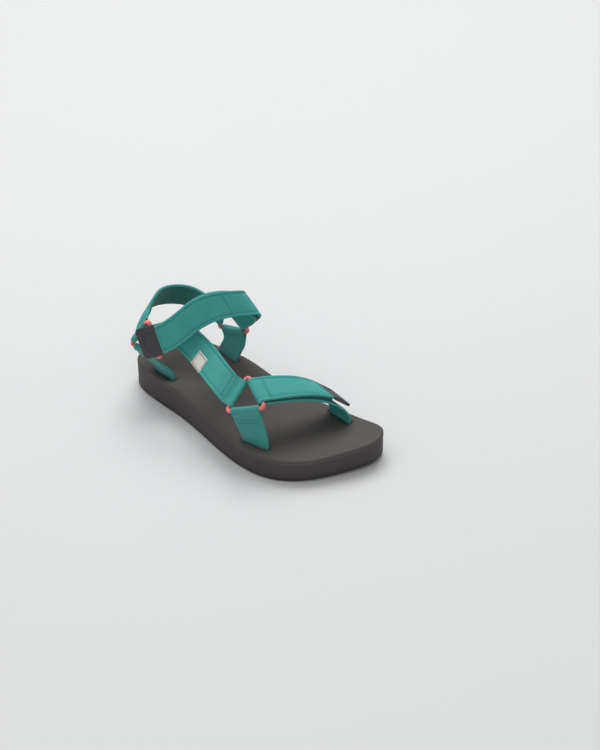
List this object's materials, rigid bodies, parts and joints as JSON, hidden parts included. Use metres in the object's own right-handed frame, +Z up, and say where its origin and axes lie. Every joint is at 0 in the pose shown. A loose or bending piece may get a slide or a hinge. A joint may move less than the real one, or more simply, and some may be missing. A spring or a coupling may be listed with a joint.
{
  "type": "strappy sport sandal",
  "caption": "Right-foot sport sandal with webbing straps held by triangular rings, hook-and-loop flaps over the forefoot and instep, a heel strap and a layered foam and rubber sole.",
  "frame": {"origin": "centre of the sole's box at ground level", "axes": "+X towards the toe, +Y towards the inner (big-toe) side, +Z up"},
  "size_m": [0.2501, 0.1, 0.121],
  "materials": {
    "webbing": "woven polyester webbing covered in teal jersey, topstitched",
    "lining": "ribbed dark green polyester lining",
    "hook_loop_tape": "dark green hook tape and loop tape",
    "ring_resin": "moulded coral resin, satin gloss",
    "tab_rubber": "moulded near-black rubber, satin",
    "label": "off-white woven label, blank",
    "footbed_foam": "moulded charcoal-brown EVA foam, fine matte texture",
    "midsole_foam": "moulded dark charcoal EVA foam, matte",
    "outsole_rubber": "moulded dark rubber, matte",
    "shank_nylon": "moulded black nylon"
  },
  "bodies": {
    "root": {"ankle_anchor_lateral": "webbing", "ankle_anchor_medial": "webbing", "ankle_ring_lateral": "ring_resin", "ankle_ring_medial": "ring_resin", "footbed": "footbed_foam", "heel_loop_lateral": "webbing", "heel_loop_medial": "webbing", "instep_flap_root": "webbing", "instep_loop_tape": "hook_loop_tape", "instep_strap_base": "webbing", "instep_strap_fold": "webbing", "midsole": "midsole_foam", "outsole": "outsole_rubber", "shank": "shank_nylon", "toe_anchor": "webbing", "toe_loop_tape": "hook_loop_tape", "toe_ring": "ring_resin", "toe_strap_base": "webbing", "toe_strap_fold": "webbing", "vamp_label": "label", "vamp_strap": "webbing"},
    "toe_flap": {"toe_flap": "webbing", "toe_hook_tape": "hook_loop_tape", "toe_tab": "tab_rubber"},
    "instep_flap": {"instep_flap": "webbing", "instep_hook_tape": "hook_loop_tape", "instep_tab": "tab_rubber"},
    "heel_strap": {"heel_strap": "webbing", "heel_strap_lining": "lining"}
  },
  "joints": [
    {"name": "toe_flap_peel", "type": "hinge", "parent": "root", "child": "toe_flap", "pos_m": [0.03557, -0.02555, 0.06798], "axis": [0.8585, -0.4188, -0.2959], "range_deg": [0, 110], "deforming": ["toe_strap_fold"]},
    {"name": "instep_flap_peel", "type": "hinge", "parent": "root", "child": "instep_flap", "pos_m": [-0.02484, 0.01694, 0.11102], "axis": [-0.6436, -0.0499, 0.7638], "range_deg": [0, 110]},
    {"name": "heel_strap_swing", "type": "hinge", "parent": "root", "child": "heel_strap", "pos_m": [-0.10105, -0.02526, 0.07049], "axis": [0.5067, 0.862, 0.0156], "range_deg": [-20, 15], "deforming": ["heel_loop_lateral", "heel_loop_medial"]}
  ]
}
